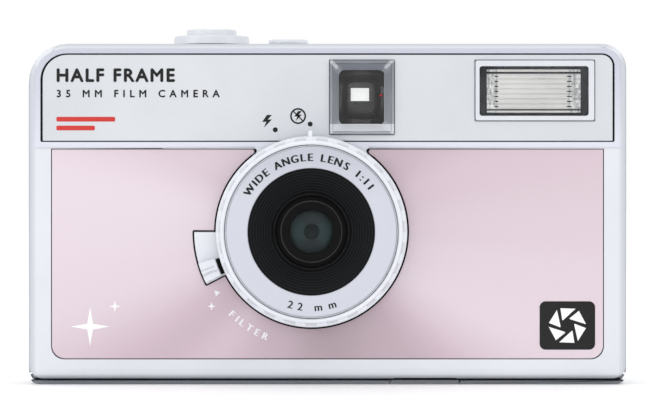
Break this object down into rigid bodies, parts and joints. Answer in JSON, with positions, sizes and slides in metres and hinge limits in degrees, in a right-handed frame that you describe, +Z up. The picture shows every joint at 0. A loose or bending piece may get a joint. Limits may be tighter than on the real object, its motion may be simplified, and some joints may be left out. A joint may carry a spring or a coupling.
{
  "type": "half-frame film camera",
  "caption": "Compact half-frame 35 mm film camera with built-in flash, turning flash switch, star-filter lever, thumb-wheel advance and hinged film door.",
  "frame": {"origin": "centre of the camera's outer box, on the base", "axes": "+X to the right seen from the front, +Y towards the back door, +Z up; the lens looks along -Y"},
  "size_m": [0.11, 0.039, 0.0654],
  "materials": {
    "shell_plastic": "satin silver-white paint on moulded plastic",
    "faceplate_metal": "fine blasted pale silver",
    "decor_metal": "spun pink anodised sheen",
    "bezel_metal": "satin silver",
    "ring_plastic": "satin silver-white",
    "flash_frame_plastic": "smoky clear edge",
    "black_plastic": "fine black texture",
    "clear_plastic": "clear moulded",
    "lens_glass": "coated glass",
    "reflector_chrome": "bright vacuum plated",
    "lamp_plastic": "translucent red",
    "steel": "plain steel",
    "brass": "turned",
    "circuit_board": "coated board",
    "foam": "black light-seal foam"
  },
  "bodies": {
    "camera_body": {"front_cover": "shell_plastic", "top_faceplate": "faceplate_metal", "decor_panel": "decor_metal", "viewfinder_bezel": "bezel_metal", "viewfinder_tunnel": "black_plastic", "viewfinder_front_lens": "clear_plastic", "viewfinder_eyepiece": "clear_plastic", "flash_ready_lamp": "lamp_plastic", "flash_bezel": "flash_frame_plastic", "flash_window": "clear_plastic", "flash_reflector": "reflector_chrome", "flash_tube": "lens_glass", "flash_capacitor": "black_plastic", "flash_circuit_board": "circuit_board", "lens_name_ring": "bezel_metal", "lens_barrel": "shell_plastic", "lens_baffle": "black_plastic", "lens_retaining_ring": "black_plastic", "front_lens_element": "lens_glass", "aperture_plate": "black_plastic", "rear_lens_element": "lens_glass", "lens_cell": "black_plastic", "shutter_base_plate": "black_plastic", "rear_housing": "shell_plastic", "strap_bar": "steel", "base_plate": "shell_plastic", "tripod_socket": "brass", "base_screw_1": "steel", "base_screw_2": "steel", "base_screw_3": "steel", "base_screw_4": "steel", "door_hinge_pin": "steel", "film_chassis": "black_plastic", "battery_contact_spring": "steel", "button_collar": "bezel_metal", "button_return_spring": "steel", "counter_bezel": "bezel_metal", "counter_window": "clear_plastic"},
    "flash_switch": {"flash_switch_ring": "ring_plastic"},
    "star_lever": {"star_filter_lever": "ring_plastic"},
    "star_filter": {"star_filter_arm": "black_plastic", "star_filter_glass": "clear_plastic"},
    "shutter": {"shutter_blade": "steel"},
    "latch": {"door_latch": "black_plastic"},
    "battery_cover": {"battery_door": "shell_plastic"},
    "door": {"back_door": "shell_plastic", "pressure_plate": "black_plastic", "pressure_spring": "steel", "door_light_seal": "foam"},
    "take_up": {"take_up_spool": "black_plastic", "advance_wheel": "black_plastic"},
    "sprocket": {"sprocket_drum": "black_plastic"},
    "counter": {"counter_dial": "black_plastic"},
    "rewind_release": {"rewind_release_button": "black_plastic"},
    "rewind": {"rewind_shaft": "black_plastic"},
    "crank_arm": {"rewind_crank_arm": "bezel_metal", "crank_pivot_pin": "steel"},
    "crank_knob": {"rewind_crank_knob": "black_plastic"},
    "release": {"shutter_button": "bezel_metal"}
  },
  "joints": [
    {"name": "door_swing", "type": "hinge", "parent": "camera_body", "child": "door", "pos_m": [-0.053, 0.0143, 0], "axis": [0, 0, 1], "range_deg": [0, 100]},
    {"name": "latch_slide", "type": "slide", "parent": "camera_body", "child": "latch", "axis": [0, 0, -1], "range_m": [0, 0.004], "stiffness_N_per_m": 100},
    {"name": "shutter_press", "type": "slide", "parent": "camera_body", "child": "release", "axis": [0, 0, -1], "range_m": [0, 0.0009], "stiffness_N_per_m": 600, "deforming": ["button_return_spring"]},
    {"name": "shutter_blade_swing", "type": "hinge", "parent": "camera_body", "child": "shutter", "pos_m": [-0.0104, 0, 0.0229], "axis": [0, -1, 0], "range_deg": [0, 40]},
    {"name": "flash_switch_turn", "type": "hinge", "parent": "camera_body", "child": "flash_switch", "pos_m": [-0.0029, 0, 0.0279], "axis": [0, -1, 0], "range_deg": [0, 19]},
    {"name": "star_lever_turn", "type": "hinge", "parent": "camera_body", "child": "star_lever", "pos_m": [-0.0029, 0, 0.0279], "axis": [0, 1, 0], "range_deg": [0, 15.5]},
    {"name": "star_filter_swing", "type": "hinge", "parent": "camera_body", "child": "star_filter", "pos_m": [0.0036, 0, 0.01664], "axis": [0, -1, 0], "range_deg": [0, 32]},
    {"name": "battery_door_slide", "type": "slide", "parent": "camera_body", "child": "battery_cover", "axis": [0, -1, 0], "range_m": [0, 0.012]},
    {"name": "advance_spin", "type": "hinge", "parent": "camera_body", "child": "take_up", "pos_m": [-0.037, 0.007, 0], "axis": [0, 0, 1], "continuous": true},
    {"name": "sprocket_spin", "type": "hinge", "parent": "camera_body", "child": "sprocket", "pos_m": [-0.0217, 0.0042, 0], "axis": [0, 0, 1], "continuous": true},
    {"name": "counter_turn", "type": "hinge", "parent": "camera_body", "child": "counter", "pos_m": [-0.0114, 0.005, 0], "axis": [0, 0, 1], "continuous": true},
    {"name": "rewind_release_press", "type": "slide", "parent": "camera_body", "child": "rewind_release", "axis": [0, 0, 1], "range_m": [0, 0.0015], "stiffness_N_per_m": 200},
    {"name": "rewind_spin", "type": "hinge", "parent": "camera_body", "child": "rewind", "pos_m": [0.0379, 0.0052, 0], "axis": [0, 0, 1], "continuous": true},
    {"name": "crank_fold", "type": "hinge", "parent": "rewind", "child": "crank_arm", "pos_m": [0.0429, 0.0052, 0.0009], "axis": [0, -1, 0], "range_deg": [0, 120]},
    {"name": "crank_knob_spin", "type": "hinge", "parent": "crank_arm", "child": "crank_knob", "pos_m": [0.034, 0.0052, 0], "axis": [0, 0, 1], "continuous": true}
  ],
  "couplings": [
    {"joint": "shutter_blade_swing", "follows": "shutter_press", "rad_per_m": 775},
    {"joint": "star_filter_swing", "follows": "star_lever_turn", "ratio": 2.064},
    {"joint": "sprocket_spin", "follows": "advance_spin", "ratio": 1},
    {"joint": "counter_turn", "follows": "advance_spin", "ratio": -0.0278}
  ]
}
